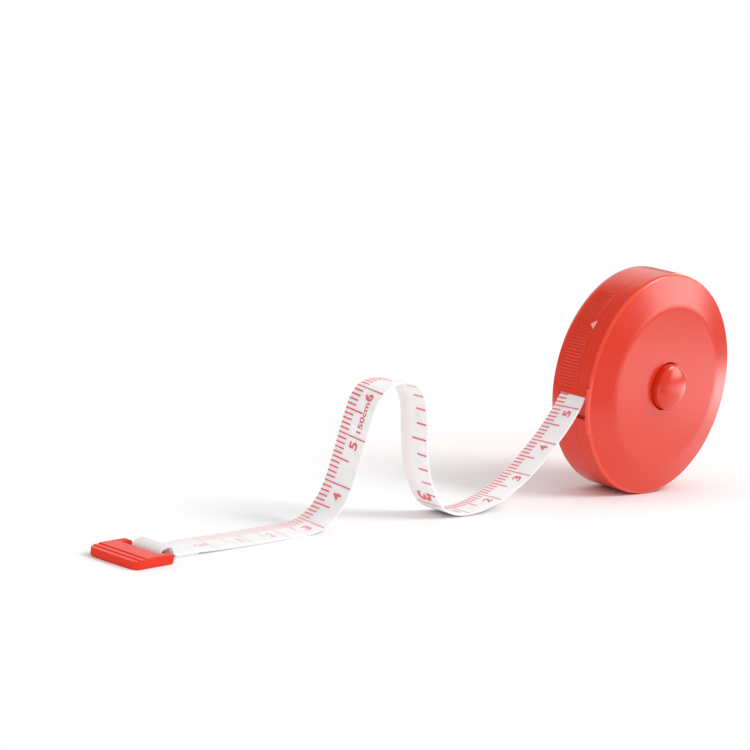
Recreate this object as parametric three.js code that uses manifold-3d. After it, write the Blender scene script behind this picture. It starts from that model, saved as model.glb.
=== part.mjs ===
// Retractable tape measure: a round pocket case standing on its rim, with its tape drawn out in a
// wave and a buckle tab on the end. The case's axis lies along Y, its button faces -Y, the tape
// leaves towards -X, and the origin is on the floor under the middle of the case and button together.
// Millimetres.

import * as THREE from 'three';
import { mergeVertices } from 'three/addons/utils/BufferGeometryUtils.js';
import Module from 'manifold-3d';

const wasm = await Module();
wasm.setup();

// Clearances
const touch = 0.3; // between pieces that bear on each other
const overrun = 2; // how far a cutter reaches past what it cuts
const weld = 1e-4; // points closer than this are one point

// The tape
const tapeWidth = 7;
const tapeThickness = 0.35;
const tapeLength = 1500;
const tapeOut = 167; // off the reel, up to the tab
const exitAngle = 60; // degrees below the horizontal where it leaves the case

// The reel
const drumRadius = 15.6;
const drumWall = 1.2;
const flangeThickness = 0.8;
const flangeMargin = 0.6; // flange past the full winding
const edgeRoom = 0.4; // beside each edge of the tape
const webThickness = 0.8;
const reelRoom = 1.75; // around the rear flange, for the tape's way out
const anchorWidth = 1.4;
const anchorAngle = 160;

// The case
const caseWall = 1.4;
const rimWall = 1.5;
const lapWall = 0.65; // the rear shell's lip inside the cover
const lapReach = 1.6;
const faceShare = 0.725; // flat middle of the front, of the case's radius
const coverSlopeShare = 0.25; // drop of the cover's bevel, of its width
const coverEdge = 0.5; // rounding between bevel and rim
const rearEdge = 1.3; // rounding of the rear face
const seamShare = 0.0625; // how far the seam lies in front of the middle, of the depth

// Grip ribs and pointer on the rear shell's rim
const ribPitch = 0.73;
const ribGroove = 0.36;
const ribDepth = 0.28;
const ribLength = 4.45;
const ribMargin = 0.7; // from the seam
const ribStartAngle = -1.5;
const ribEndAngle = 52;
const pointerWidth = 2.9; // with the clearance around it
const pointerHeight = 1.75;
const pointerThickness = 0.4;
const pointerAngle = 32;

// The mouth and its guide
const mouthSide = 0.35; // beside each edge of the tape
const mouthClearance = 0.5; // above the tape
const mouthDrop = 7.1; // lower edge, below the middle of the case
const mouthDepth = 1; // recess below the tape, into the rim
const guideDepth = 0.9;
const guideHeight = 1.2; // measured outwards
const guideProud = 0.4;
const guideTopAngle = 0.3;
const guideBottomAngle = -23.5;
const guideRounding = 0.2;

// The button, its brake and the post
const buttonRadius = 5.2;
const buttonClearance = 0.3;
const buttonProud = 2.6;
const buttonDome = 1.5;
const buttonWall = 1;
const buttonTravel = 1.3;
const stemRadius = 1.7;
const shoulderWall = 0.8;
const clipThickness = 0.3;
const clipOverlap = 1.1;
const clipGroove = 0.5;
const lipRoom = 1.8; // between the button and the reel's lip
const padThickness = 0.3;
const padOverlap = 1.6;
const discThickness = 0.7;
const postWall = 1.2;
const bushWall = 0.8;
const bossWall = 1.1;
const bossReach = 1.1;
const hookSlot = 1;
const keyWidth = 0.4;
const keyHeight = 1.1;

// The springs
const returnWire = 0.15; // radius of the wire
const returnTurns = 5;
const powerStrip = 0.2;
const powerTurns = 8;
const powerHook = 1.1;

// The end tab and the folded end of the tape
const tabWidth = 12;
const tabLength = 10.1;
const tabThickness = 2;
const tabStep = 0.25;
const tabStepLength = 1.4;
const tabCorner = 1.5;
const tabEdge = 0.2;
const armWidth = 1.4;
const windowLength = 2.6; // from its outer wall to the bar's middle
const barRadius = 0.35;
const barPlay = 0.3;
const barMargin = 0.5; // from the bar's middle to the tab's inner end
const foldLength = 10.6;
const foldTail = 9.6;
const loopRise = 1.5; // crest of the loose loop, above the bar's middle
const loopCrest = 1.6; // from the bar's middle to the crest
const loopSwell = 2.9; // how far its bend is drawn out behind the bar
const tabHeading = 6; // degrees that the tape's end is turned towards the front

// The free tape's route from the winding to its fold, as it lies on the floor
const route = [
  [-17.75, 0, 35.55],
  [-21.5, 0, 29.05],
  [-25.05, 0, 22.9],
  [-28, -0.3, 18.9],
  [-31.8, -0.6, 14.9],
  [-36.2, -0.8, 10.9],
  [-41, -1, 7.2],
  [-46.1, -1.2, 4.2],
  [-51.7, -1.4, 2],
  [-57.5, -1.5, 0.7],
  [-63.4, -1.7, 0.6],
  [-69, -1.9, 2.4],
  [-73.1, -2.1, 6.6],
  [-75.9, -2.4, 12],
  [-77.6, -2.6, 17.6],
  [-79.4, -2.7, 23.4],
  [-82.8, -3, 28.1],
  [-88.3, -3.3, 30],
  [-93.3, -3.2, 27.3],
  [-95.2, -2.7, 21.7],
  [-95.6, -1.95, 15.65],
  [-96.2, -1.25, 9.6],
  [-98.7, -0.85, 4.2],
  [-103.6, -1, 1.15],
  [-109.8, -1.6, 0.45],
  [-117.8, -2.4, 0.5],
  [-125.9, -3.05, 0.5],
  [-131.5, -3.5, 0.55],
  [-137, -3.88, 0.65],
];

// Sizes that follow
const windingInner = drumRadius + touch;
const windingRadius = Math.sqrt(windingInner ** 2 + ((tapeLength - tapeOut) * tapeThickness) / Math.PI);
const fullRadius = Math.sqrt(windingInner ** 2 + (tapeLength * tapeThickness) / Math.PI);
const rearFlangeRadius = fullRadius + flangeMargin;
const shellInner = rearFlangeRadius + reelRoom;
const lapRadius = shellInner + lapWall;
const coverInner = lapRadius + touch;
const caseRadius = coverInner + rimWall;
const faceRadius = caseRadius * faceShare;

const drumInner = drumRadius - drumWall;
const drumHalf = tapeWidth / 2 + edgeRoom - touch;
const flangeFrom = tapeWidth / 2 + edgeRoom;
const flangeTo = flangeFrom + flangeThickness;
const caseInnerHalf = flangeTo + touch;
const caseHalf = caseInnerHalf + caseWall;
const seam = -caseHalf * 2 * seamShare;
const coverSlope = coverSlopeShare;
const innerFaceRadius = faceRadius - caseWall * coverSlope;

const buttonHole = buttonRadius + buttonClearance;
const lipRadius = buttonRadius + lipRoom;
const discRadius = lipRadius + padOverlap;
const padFrom = -flangeFrom + touch;
const padTo = padFrom + padThickness;
const discFrom = padTo + touch;
const discTo = discFrom + discThickness;
const clipFrom = discTo + touch;
const clipTo = clipFrom + clipThickness;
const postFrom = clipTo + buttonTravel + touch;
const webFrom = postFrom + touch / 2;
const webTo = webFrom + webThickness;
const postBore = stemRadius + touch;
const postRadius = postBore + postWall;
const postTo = caseInnerHalf - touch;
const bushInner = postRadius + touch;
const bushRadius = bushInner + bushWall;
const webBore = bushRadius + touch;
const bossInner = postRadius + touch;
const bossRadius = bossInner + bossWall;
const stemTo = webTo;
const returnTo = caseInnerHalf - touch;
const returnFrom = stemTo + touch;

const barHeight = barRadius + barPlay + tapeThickness;
const windowWidth = tabWidth - armWidth * 2;
const mouthHalf = tapeWidth / 2 + mouthSide;
const exitRadius = windingRadius + touch + tapeThickness / 2;

const shellSides = 96;
const reelSides = 48;
const smallSides = 32;
const radians = THREE.MathUtils.degToRad;

// Materials, in the object's own colours
const shellRed = new THREE.MeshStandardMaterial({ color: 0xe8483a, roughness: 0.3, metalness: 0 });
const pointerPink = new THREE.MeshStandardMaterial({ color: 0xf3b9ae, roughness: 0.5, metalness: 0 });
const tapeWhite = new THREE.MeshStandardMaterial({ color: 0xe4e0e0, roughness: 0.45, metalness: 0 });
const innerPlastic = new THREE.MeshStandardMaterial({ color: 0xd9d9d6, roughness: 0.55, metalness: 0 });
const springSteel = new THREE.MeshStandardMaterial({ color: 0xa9adb2, roughness: 0.3, metalness: 1 });
const padRubber = new THREE.MeshStandardMaterial({ color: 0x2b2b2d, roughness: 0.85, metalness: 0 });

// Solids

function signedVolume(positions, triangles) {
  const a = new THREE.Vector3();
  const b = new THREE.Vector3();
  const c = new THREE.Vector3();
  let volume = 0;
  for (let i = 0; i < triangles.length; i += 3) {
    a.fromArray(positions, triangles[i] * 3);
    b.fromArray(positions, triangles[i + 1] * 3);
    c.fromArray(positions, triangles[i + 2] * 3);
    volume += a.dot(b.cross(c)) / 6;
  }
  return volume;
}

function solidOf(geometry) {
  const bare = geometry.clone();
  bare.deleteAttribute('normal');
  bare.deleteAttribute('uv');
  const merged = mergeVertices(bare, weld);
  const positions = merged.attributes.position.array;
  const corners = merged.index.array;
  const triangles = [];
  for (let i = 0; i < corners.length; i += 3) {
    const [p, q, r] = [corners[i], corners[i + 1], corners[i + 2]];
    if (p !== q && q !== r && r !== p) triangles.push(p, q, r);
  }
  if (signedVolume(positions, triangles) < 0) triangles.reverse();
  return new wasm.Manifold(
    new wasm.Mesh({
      numProp: 3,
      vertProperties: new Float32Array(positions),
      triVerts: new Uint32Array(triangles),
    }),
  );
}

function geometryOf(solid) {
  const mesh = solid.getMesh();
  const geometry = new THREE.BufferGeometry();
  geometry.setAttribute('position', new THREE.BufferAttribute(new Float32Array(mesh.vertProperties), 3));
  geometry.setIndex(new THREE.BufferAttribute(new Uint32Array(mesh.triVerts), 1));
  geometry.computeVertexNormals();
  return geometry;
}

// A closed profile of [radius, y] turned about the case's axis, with a flat at the bottom
function turned(profile, sides) {
  const points = profile.map(([radius, y]) => new THREE.Vector2(radius, y));
  return solidOf(new THREE.LatheGeometry(points, sides, Math.PI / sides));
}

function ring(inner, outer, from, to, sides) {
  const profile = [[inner, from], [outer, from], [outer, to], [inner, to], [inner, from]];
  return turned(profile, sides);
}

// An outline in the XZ plane, as thick as from one y to another
function plate(outline, from, to) {
  const geometry = new THREE.ExtrudeGeometry(outline, { depth: to - from, bevelEnabled: false });
  geometry.rotateX(Math.PI / 2);
  geometry.translate(0, to, 0);
  return solidOf(geometry);
}

// A block centred on its place on the rim: outwards, along the axis and around the rim
function rimBlock(outwards, along, around, radius, y, angle) {
  const geometry = new THREE.BoxGeometry(outwards, along, around);
  geometry.translate(radius, y, 0);
  geometry.rotateY(Math.PI + radians(angle));
  return solidOf(geometry);
}

// Part of a ring between two angles, measured up from the tape's side
function sector(inner, outer, fromAngle, toAngle) {
  const outline = new THREE.Shape();
  const from = Math.PI - radians(fromAngle);
  const to = Math.PI - radians(toAngle);
  outline.absarc(0, 0, outer, from, to, true);
  outline.absarc(0, 0, inner, to, from, false);
  outline.closePath();
  return outline;
}

// A strip of even thickness along a line of [x, z] points
function stripOutline(line, thickness) {
  const left = [];
  const right = [];
  line.forEach((point, i) => {
    const before = line[Math.max(i - 1, 0)];
    const after = line[Math.min(i + 1, line.length - 1)];
    const along = new THREE.Vector2(after[0] - before[0], after[1] - before[1]).normalize();
    const side = new THREE.Vector2(-along.y, along.x).multiplyScalar(thickness / 2);
    left.push(new THREE.Vector2(point[0] + side.x, point[1] + side.y));
    right.unshift(new THREE.Vector2(point[0] - side.x, point[1] - side.y));
  });
  return new THREE.Shape([...left, ...right]);
}

function named(name, solid, material) {
  const mesh = new THREE.Mesh(geometryOf(solid), material);
  mesh.name = name;
  return mesh;
}

// The way of the tape through the rim, and the recess in the rim below it
function mouthCutter() {
  const angle = radians(exitAngle);
  const pointAt = (reach, length) => new THREE.Vector2(
    -Math.sin(angle) * reach - Math.cos(angle) * length,
    Math.cos(angle) * reach - Math.sin(angle) * length,
  );
  const over = exitRadius + mouthClearance;
  const under = exitRadius - mouthClearance;
  const length = (Math.cos(angle) * over + mouthDrop) / Math.sin(angle);
  const outline = new THREE.Shape([
    pointAt(over, 0),
    pointAt(over, length),
    new THREE.Vector2(-drumRadius, -mouthDrop),
  ]);
  const slot = new THREE.Shape([
    pointAt(over, 0),
    pointAt(over, length),
    pointAt(under, length),
    pointAt(under, 0),
  ]);
  const floor = ring(0, caseRadius - mouthDepth, -mouthHalf - overrun, mouthHalf + overrun, shellSides);
  return plate(outline, -mouthHalf, mouthHalf)
    .subtract(floor)
    .add(plate(slot, -mouthHalf, mouthHalf));
}

// The case

function frontCover() {
  const bevelRadius = caseRadius - coverEdge;
  const bevelDrop = (bevelRadius - faceRadius) * coverSlope;
  const profile = [
    [buttonHole, -caseHalf],
    [faceRadius, -caseHalf],
    [bevelRadius, -caseHalf + bevelDrop],
    [caseRadius - coverEdge / 4, -caseHalf + bevelDrop + coverEdge / 3],
    [caseRadius, -caseHalf + bevelDrop + coverEdge],
    [caseRadius, seam - touch / 2],
    [coverInner, seam - touch / 2],
    [coverInner, -caseInnerHalf + (coverInner - innerFaceRadius) * coverSlope],
    [innerFaceRadius, -caseInnerHalf],
    [buttonHole, -caseInnerHalf],
    [buttonHole, -caseHalf],
  ];
  const slack = THREE.MathUtils.radToDeg(touch / caseRadius);
  const notch = sector(
    caseRadius + guideProud - guideHeight - touch,
    caseRadius + overrun,
    guideBottomAngle - slack,
    guideTopAngle + slack,
  );
  return turned(profile, shellSides)
    .subtract(mouthCutter())
    .subtract(plate(notch, -caseHalf, -mouthHalf + touch));
}

function backShell() {
  const profile = [[0, caseHalf]];
  for (const step of [0, 1, 2, 3, 4]) {
    const angle = (Math.PI / 8) * step;
    profile.push([
      caseRadius - rearEdge * (1 - Math.sin(angle)),
      caseHalf - rearEdge * (1 - Math.cos(angle)),
    ]);
  }
  profile.push(
    [caseRadius, seam + touch / 2],
    [lapRadius, seam + touch / 2],
    [lapRadius, seam - lapReach],
    [shellInner, seam - lapReach],
    [shellInner, caseInnerHalf],
    [bossRadius, caseInnerHalf],
    [bossRadius, caseInnerHalf - bossReach],
    [bossInner, caseInnerHalf - bossReach],
    [bossInner, caseInnerHalf],
    [0, caseInnerHalf],
  );
  let shell = turned(profile, shellSides).subtract(mouthCutter());
  const pitchAngle = THREE.MathUtils.radToDeg(ribPitch / caseRadius);
  const ribY = seam + ribMargin + ribLength / 2;
  for (let angle = ribStartAngle; angle < ribEndAngle; angle += pitchAngle) {
    const middle = caseRadius - ribDepth + overrun / 2;
    shell = shell.subtract(rimBlock(overrun, ribLength, ribGroove, middle, ribY, angle));
  }
  return shell.subtract(pointerPrism(touch / 2, caseRadius - pointerThickness - touch / 2, overrun));
}

// The pointer's triangle, its base at the seam, grown on every side by a clearance
function pointerPrism(grown, floor, height) {
  const half = pointerWidth / 2;
  const slant = Math.hypot(half, pointerHeight);
  const inRadius = (half * pointerHeight) / (half + slant);
  const share = (inRadius + grown) / inRadius;
  const base = seam + touch / 2;
  const corners = [[-half, -inRadius], [half, -inRadius], [0, pointerHeight - inRadius]];
  const outline = new THREE.Shape(
    corners.map(([across, up]) => new THREE.Vector2(across * share, base + inRadius + up * share)),
  );
  const geometry = new THREE.ExtrudeGeometry(outline, { depth: height, bevelEnabled: false });
  geometry.translate(0, 0, floor);
  geometry.rotateY(radians(pointerAngle) - Math.PI / 2);
  return solidOf(geometry);
}

function mouthGuide() {
  const outline = sector(
    caseRadius + guideProud - guideHeight + guideRounding,
    caseRadius + guideProud - guideRounding,
    guideBottomAngle,
    guideTopAngle,
  );
  const geometry = new THREE.ExtrudeGeometry(outline, {
    depth: guideDepth - guideRounding * 2,
    bevelThickness: guideRounding,
    bevelSize: guideRounding,
    bevelSegments: 2,
  });
  geometry.rotateX(Math.PI / 2);
  geometry.translate(0, -mouthHalf - guideRounding, 0);
  return solidOf(geometry);
}

function centrePost() {
  const slotFrom = webTo + touch / 2;
  return ring(postBore, postRadius, postFrom, postTo, smallSides)
    .subtract(rimBlock(postRadius * 2, postTo + overrun - slotFrom, hookSlot, postRadius,
      (postTo + overrun + slotFrom) / 2, 0))
    .subtract(rimBlock(postRadius * 2, keySlotTo() + overrun - postFrom, hookSlot, postRadius,
      (keySlotTo() - overrun + postFrom) / 2, 180));
}

function keySlotTo() {
  return stemTo + buttonTravel + touch;
}

// The button and what it carries

function buttonCap() {
  const crown = -caseHalf - buttonProud;
  const profile = [[0, crown]];
  for (const step of [1, 2, 3, 4, 5, 6, 7, 8]) {
    const angle = (Math.PI / 16) * step;
    profile.push([buttonRadius * Math.sin(angle), crown + buttonDome * (1 - Math.cos(angle))]);
  }
  const ceiling = crown + buttonDome + buttonWall / 2;
  profile.push(
    [buttonRadius, -flangeFrom],
    [buttonRadius - buttonWall, -flangeFrom],
    [buttonRadius - buttonWall, ceiling],
    [stemRadius + shoulderWall, ceiling],
    [stemRadius + shoulderWall, discFrom - touch],
    [stemRadius, discFrom - touch],
    [stemRadius, clipFrom - touch / 2],
    [stemRadius - clipGroove, clipFrom - touch / 2],
    [stemRadius - clipGroove, clipTo + touch / 2],
    [stemRadius, clipTo + touch / 2],
    [stemRadius, stemTo],
    [0, stemTo],
  );
  const keyFrom = postFrom;
  const key = rimBlock(keyHeight, stemTo - keyFrom, keyWidth, stemRadius + keyHeight / 4,
    (stemTo + keyFrom) / 2, 180);
  return turned(profile, smallSides).add(key);
}

function stemClip() {
  return ring(stemRadius - clipGroove + touch, stemRadius + clipOverlap, clipFrom, clipTo, smallSides);
}

function brakeDisc() {
  return ring(stemRadius + touch, discRadius, discFrom, discTo, smallSides);
}

function brakePad() {
  return ring(lipRadius + touch, discRadius, padFrom, padTo, smallSides);
}

class Helix extends THREE.Curve {
  getPoint(t, target = new THREE.Vector3()) {
    const angle = t * returnTurns * Math.PI * 2;
    const radius = stemRadius - returnWire;
    const from = returnFrom + returnWire;
    const to = returnTo - returnWire;
    return target.set(radius * Math.cos(angle), from + (to - from) * t, radius * Math.sin(angle));
  }
}

function returnSpring() {
  const wire = new THREE.Shape();
  wire.absarc(0, 0, returnWire, 0, Math.PI * 2);
  const geometry = new THREE.ExtrudeGeometry(wire, {
    curveSegments: 3,
    steps: returnTurns * 12,
    bevelEnabled: false,
    extrudePath: new Helix(),
  });
  return solidOf(geometry);
}

// The reel and what turns with it

function reelDrum() {
  const profile = [
    [webBore, webFrom],
    [drumInner, webFrom],
    [drumInner, -drumHalf],
    [drumRadius, -drumHalf],
    [drumRadius, drumHalf],
    [drumInner, drumHalf],
    [drumInner, webTo],
    [webBore, webTo],
    [webBore, webFrom],
  ];
  const slot = rimBlock(drumWall, anchorLength() + touch * 2, anchorWidth + touch * 2,
    drumInner + touch / 2 + drumWall / 2, 0, anchorAngle);
  return turned(profile, reelSides).subtract(slot);
}

function anchorLength() {
  return (drumHalf - flangeThickness - touch) * 2;
}

function tapeAnchor() {
  const outwards = drumWall - touch * 2;
  return rimBlock(outwards, anchorLength(), anchorWidth, drumRadius - outwards / 2, 0, anchorAngle);
}

function frontFlange() {
  return ring(lipRadius, innerFaceRadius, -flangeTo, -flangeFrom, reelSides);
}

function rearFlange() {
  return ring(bossRadius + touch, rearFlangeRadius, flangeFrom, flangeTo, reelSides);
}

function reelBush() {
  return ring(bushInner, bushRadius, webFrom, webTo, smallSides);
}

function woundTape() {
  return ring(windingInner, windingRadius, -tapeWidth / 2, tapeWidth / 2, reelSides);
}

function powerSpring() {
  const inner = postRadius + touch + powerStrip / 2;
  const outer = drumInner - touch - powerStrip / 2;
  const line = [[-inner + powerHook, 0]];
  const steps = powerTurns * 16;
  for (let i = 0; i <= steps; i += 1) {
    const radius = inner + ((outer - inner) * i) / steps;
    const angle = Math.PI + (i / steps) * powerTurns * Math.PI * 2;
    line.push([radius * Math.cos(angle), radius * Math.sin(angle)]);
  }
  return plate(stripOutline(line, powerStrip), webTo + touch, flangeFrom - touch);
}

// The free tape, its folded end and the tab

function freeTape() {
  const path = new THREE.CatmullRomCurve3(route.map((point) => new THREE.Vector3(...point)));
  const section = new THREE.Shape([
    new THREE.Vector2(-tapeWidth / 2, -tapeThickness / 2),
    new THREE.Vector2(tapeWidth / 2, -tapeThickness / 2),
    new THREE.Vector2(tapeWidth / 2, tapeThickness / 2),
    new THREE.Vector2(-tapeWidth / 2, tapeThickness / 2),
  ]);
  const geometry = new THREE.ExtrudeGeometry(section, {
    steps: 80,
    bevelEnabled: false,
    extrudePath: path,
  });
  return solidOf(geometry);
}

function endFold() {
  const start = route[route.length - 1][2];
  const low = tapeThickness / 2;
  const crest = barHeight + loopRise;
  const strip = foldLength - touch - loopCrest;
  const upper = new THREE.CubicBezierCurve(
    new THREE.Vector2(foldLength - touch, start),
    new THREE.Vector2(foldLength - touch - strip * 0.5, start),
    new THREE.Vector2(loopCrest + strip * 0.3, crest),
    new THREE.Vector2(loopCrest, crest),
  );
  const loop = new THREE.CubicBezierCurve(
    new THREE.Vector2(loopCrest, crest),
    new THREE.Vector2(loopCrest - loopSwell, crest),
    new THREE.Vector2(barRadius + touch - loopSwell, low),
    new THREE.Vector2(barRadius + touch, low),
  );
  const line = [...upper.getPoints(12), ...loop.getPoints(16).slice(1)].map((point) => [point.x, point.y]);
  line.push([foldTail, low]);
  return plate(stripOutline(line, tapeThickness), -tapeWidth / 2, tapeWidth / 2);
}

function endTab() {
  const outer = barMargin - tabLength + tabEdge;
  const inner = barMargin - tabEdge;
  const side = tabWidth / 2 - tabEdge;
  const opening = windowWidth / 2 + tabEdge;
  const wall = -windowLength - tabEdge;
  const round = tabCorner - tabEdge;
  const outline = new THREE.Shape();
  outline.moveTo(inner, opening);
  outline.lineTo(inner, side);
  outline.lineTo(outer + round, side);
  outline.absarc(outer + round, side - round, round, Math.PI / 2, Math.PI, false);
  outline.absarc(outer + round, -side + round, round, Math.PI, Math.PI * 1.5, false);
  outline.lineTo(inner, -side);
  outline.lineTo(inner, -opening);
  outline.lineTo(wall, -opening);
  outline.lineTo(wall, opening);
  const geometry = new THREE.ExtrudeGeometry(outline, {
    depth: tabThickness - tabEdge * 2,
    bevelThickness: tabEdge,
    bevelSize: tabEdge,
    bevelSegments: 2,
    curveSegments: 6,
  });
  geometry.translate(0, 0, tabEdge);
  let tab = solidOf(geometry);
  for (const steps of [1, 2]) {
    const cut = new THREE.BoxGeometry(tabStepLength * steps + overrun, tabWidth + overrun, overrun);
    cut.translate(
      barMargin - tabLength + (tabStepLength * steps - overrun) / 2,
      0,
      tabThickness - tabStep * (3 - steps) + overrun / 2,
    );
    tab = tab.subtract(solidOf(cut));
  }
  const bar = new THREE.CylinderGeometry(barRadius, barRadius, windowWidth + armWidth, smallSides / 2);
  bar.translate(0, 0, barHeight);
  return tab.add(solidOf(bar));
}

// Assembly

const disc = new THREE.Group();
disc.position.z = caseRadius;
disc.add(
  named('back_shell', backShell(), shellRed),
  named('front_cover', frontCover(), shellRed),
  named('mouth_guide', mouthGuide(), shellRed),
  named('pointer_mark', pointerPrism(-touch / 2, caseRadius - pointerThickness, pointerThickness),
    pointerPink),
  named('centre_post', centrePost(), innerPlastic),
  named('button_cap', buttonCap(), shellRed),
  named('stem_clip', stemClip(), springSteel),
  named('brake_disc', brakeDisc(), innerPlastic),
  named('brake_pad', brakePad(), padRubber),
  named('button_spring', returnSpring(), springSteel),
  named('reel_drum', reelDrum(), innerPlastic),
  named('reel_front_flange', frontFlange(), innerPlastic),
  named('reel_rear_flange', rearFlange(), innerPlastic),
  named('reel_bush', reelBush(), innerPlastic),
  named('tape_anchor', tapeAnchor(), innerPlastic),
  named('power_spring', powerSpring(), springSteel),
  named('wound_tape', woundTape(), tapeWhite),
);

const routeEnd = route[route.length - 1];
const tapeEnd = new THREE.Group();
tapeEnd.rotation.z = radians(tabHeading);
tapeEnd.position.set(
  routeEnd[0] - foldLength * Math.cos(radians(tabHeading)),
  routeEnd[1] - foldLength * Math.sin(radians(tabHeading)),
  0,
);
tapeEnd.add(
  named('tape_end_fold', endFold(), tapeWhite),
  named('end_tab', endTab(), shellRed),
);

// The case and the button that stands out of it are centred together over the origin
const group = new THREE.Group();
group.position.y = buttonProud / 2;
group.add(disc, named('free_tape', freeTape(), tapeWhite), tapeEnd);

export default group;
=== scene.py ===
# Retractable tape measure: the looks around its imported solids. Sizes in the dictionaries are millimetres.

import math

import bmesh
import bpy
import numpy as np
from mathutils import Matrix, Vector
from mathutils.geometry import interpolate_bezier


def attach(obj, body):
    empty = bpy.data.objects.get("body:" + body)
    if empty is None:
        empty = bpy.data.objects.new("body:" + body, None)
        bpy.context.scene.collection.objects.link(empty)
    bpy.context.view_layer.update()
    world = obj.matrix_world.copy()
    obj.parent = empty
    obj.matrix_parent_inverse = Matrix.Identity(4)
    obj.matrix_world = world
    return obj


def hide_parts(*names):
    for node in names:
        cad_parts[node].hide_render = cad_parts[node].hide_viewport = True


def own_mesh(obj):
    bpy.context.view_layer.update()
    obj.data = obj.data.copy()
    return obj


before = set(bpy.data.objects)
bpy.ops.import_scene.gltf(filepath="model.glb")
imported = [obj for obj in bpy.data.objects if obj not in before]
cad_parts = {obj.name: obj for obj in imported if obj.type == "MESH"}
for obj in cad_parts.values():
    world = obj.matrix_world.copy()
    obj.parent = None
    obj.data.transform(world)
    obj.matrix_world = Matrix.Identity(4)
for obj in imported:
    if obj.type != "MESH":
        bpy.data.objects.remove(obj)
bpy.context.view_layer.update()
mm = 0.001
print("frame loaded:", len(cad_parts), "nodes")

# The case stands on its rim over the origin, its axis along Y
case = {
    "radius": 25.29,
    "halfDepth": 6.4,
    "innerHalf": 5.0,
    "shift": 1.3,  # the case's middle plane lies this far behind the origin
    "steps": 192,
}
centre = Vector((0, case["shift"] * mm, case["radius"] * mm))


def addObject(name, data):
    item = bpy.data.objects.new(name, data)
    bpy.context.scene.collection.objects.link(item)
    return item


def towardsAt(azimuth, elevation):
    # A direction from the case, its azimuth measured from -Y towards +X
    azimuth, elevation = math.radians(azimuth), math.radians(elevation)
    flat = math.cos(elevation)
    return Vector((math.sin(azimuth) * flat, -math.cos(azimuth) * flat, math.sin(elevation)))


# Camera

camera = {
    "place": (-416.75, -304.89, 107.33),
    "azimuth": -46.972,
    "elevation": 9.769,
    "roll": 7.102,
    "focal": 2302.3,  # in pixels of a frame 750 wide
    "frame": 750,
    "sensor": 36,
    "clip": (0.01, 20),
}


def makeCamera():
    azimuth, roll = math.radians(camera["azimuth"]), math.radians(camera["roll"])
    back = towardsAt(camera["azimuth"], camera["elevation"])
    level = Vector((math.cos(azimuth), math.sin(azimuth), 0))
    upright = back.cross(level)
    right = level * math.cos(roll) + upright * math.sin(roll)
    up = upright * math.cos(roll) - level * math.sin(roll)
    data = bpy.data.cameras.new("camera")
    data.sensor_width = camera["sensor"]
    data.lens = camera["sensor"] * camera["focal"] / camera["frame"]
    data.clip_start, data.clip_end = camera["clip"]
    eye = addObject("camera", data)
    eye.matrix_world = Matrix((right, up, back)).transposed().to_4x4()
    eye.location = Vector(camera["place"]) * mm
    bpy.context.scene.camera = eye


makeCamera()
bpy.context.scene.view_settings.view_transform = "Standard"
print("camera placed")


# Shared material parts

def newMaterial(name):
    material = bpy.data.materials.new(name)
    material.use_nodes = True
    return material, material.node_tree


def addNode(tree, kind, values=(), **settings):
    node = tree.nodes.new(kind)
    for key, value in settings.items():
        setattr(node, key, value)
    for key, value in dict(values).items():
        node.inputs[key].default_value = value
    return node


def calculate(tree, operation, *terms):
    # A math node over sockets and plain numbers
    node = addNode(tree, "ShaderNodeMath", operation=operation)
    for socket, term in zip(node.inputs, terms):
        if isinstance(term, (int, float)):
            socket.default_value = term
        else:
            tree.links.new(term, socket)
    return node.outputs[0]


def ramp(tree, source, start, end, low=0, high=1):
    # From low to high while the source goes from start to end
    node = addNode(tree, "ShaderNodeMapRange", {
        "From Min": start, "From Max": end, "To Min": low, "To Max": high,
    })
    tree.links.new(source, node.inputs["Value"])
    return node.outputs["Result"]


def mixColour(tree, share, base, other):
    # The base, a colour or a socket, turning into another colour
    node = addNode(tree, "ShaderNodeMix", data_type="RGBA")
    tree.links.new(share, node.inputs["Factor"])
    if isinstance(base, tuple):
        node.inputs["A"].default_value = (*base, 1)
    else:
        tree.links.new(base, node.inputs["A"])
    node.inputs["B"].default_value = (*other, 1)
    return node.outputs["Result"]


def mixShader(tree, share, first, second):
    node = addNode(tree, "ShaderNodeMixShader")
    for socket, source in zip(node.inputs, (share, first, second)):
        tree.links.new(source, socket)
    return node.outputs[0]


def objectPlace(tree):
    # Object coordinates, whole and by axis
    place = addNode(tree, "ShaderNodeTexCoord").outputs["Object"]
    split = addNode(tree, "ShaderNodeSeparateXYZ")
    tree.links.new(place, split.inputs[0])
    return place, split.outputs


def distanceFrom(tree, place, middle, axes=(1, 1, 1)):
    # How far a place is from a middle, along the axes that count
    for operation, vector in (("SUBTRACT", middle), ("MULTIPLY", axes)):
        node = addNode(tree, "ShaderNodeVectorMath", operation=operation)
        node.inputs[1].default_value = vector
        tree.links.new(place, node.inputs[0])
        place = node.outputs[0]
    length = addNode(tree, "ShaderNodeVectorMath", operation="LENGTH")
    tree.links.new(place, length.inputs[0])
    return length.outputs["Value"]


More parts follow.
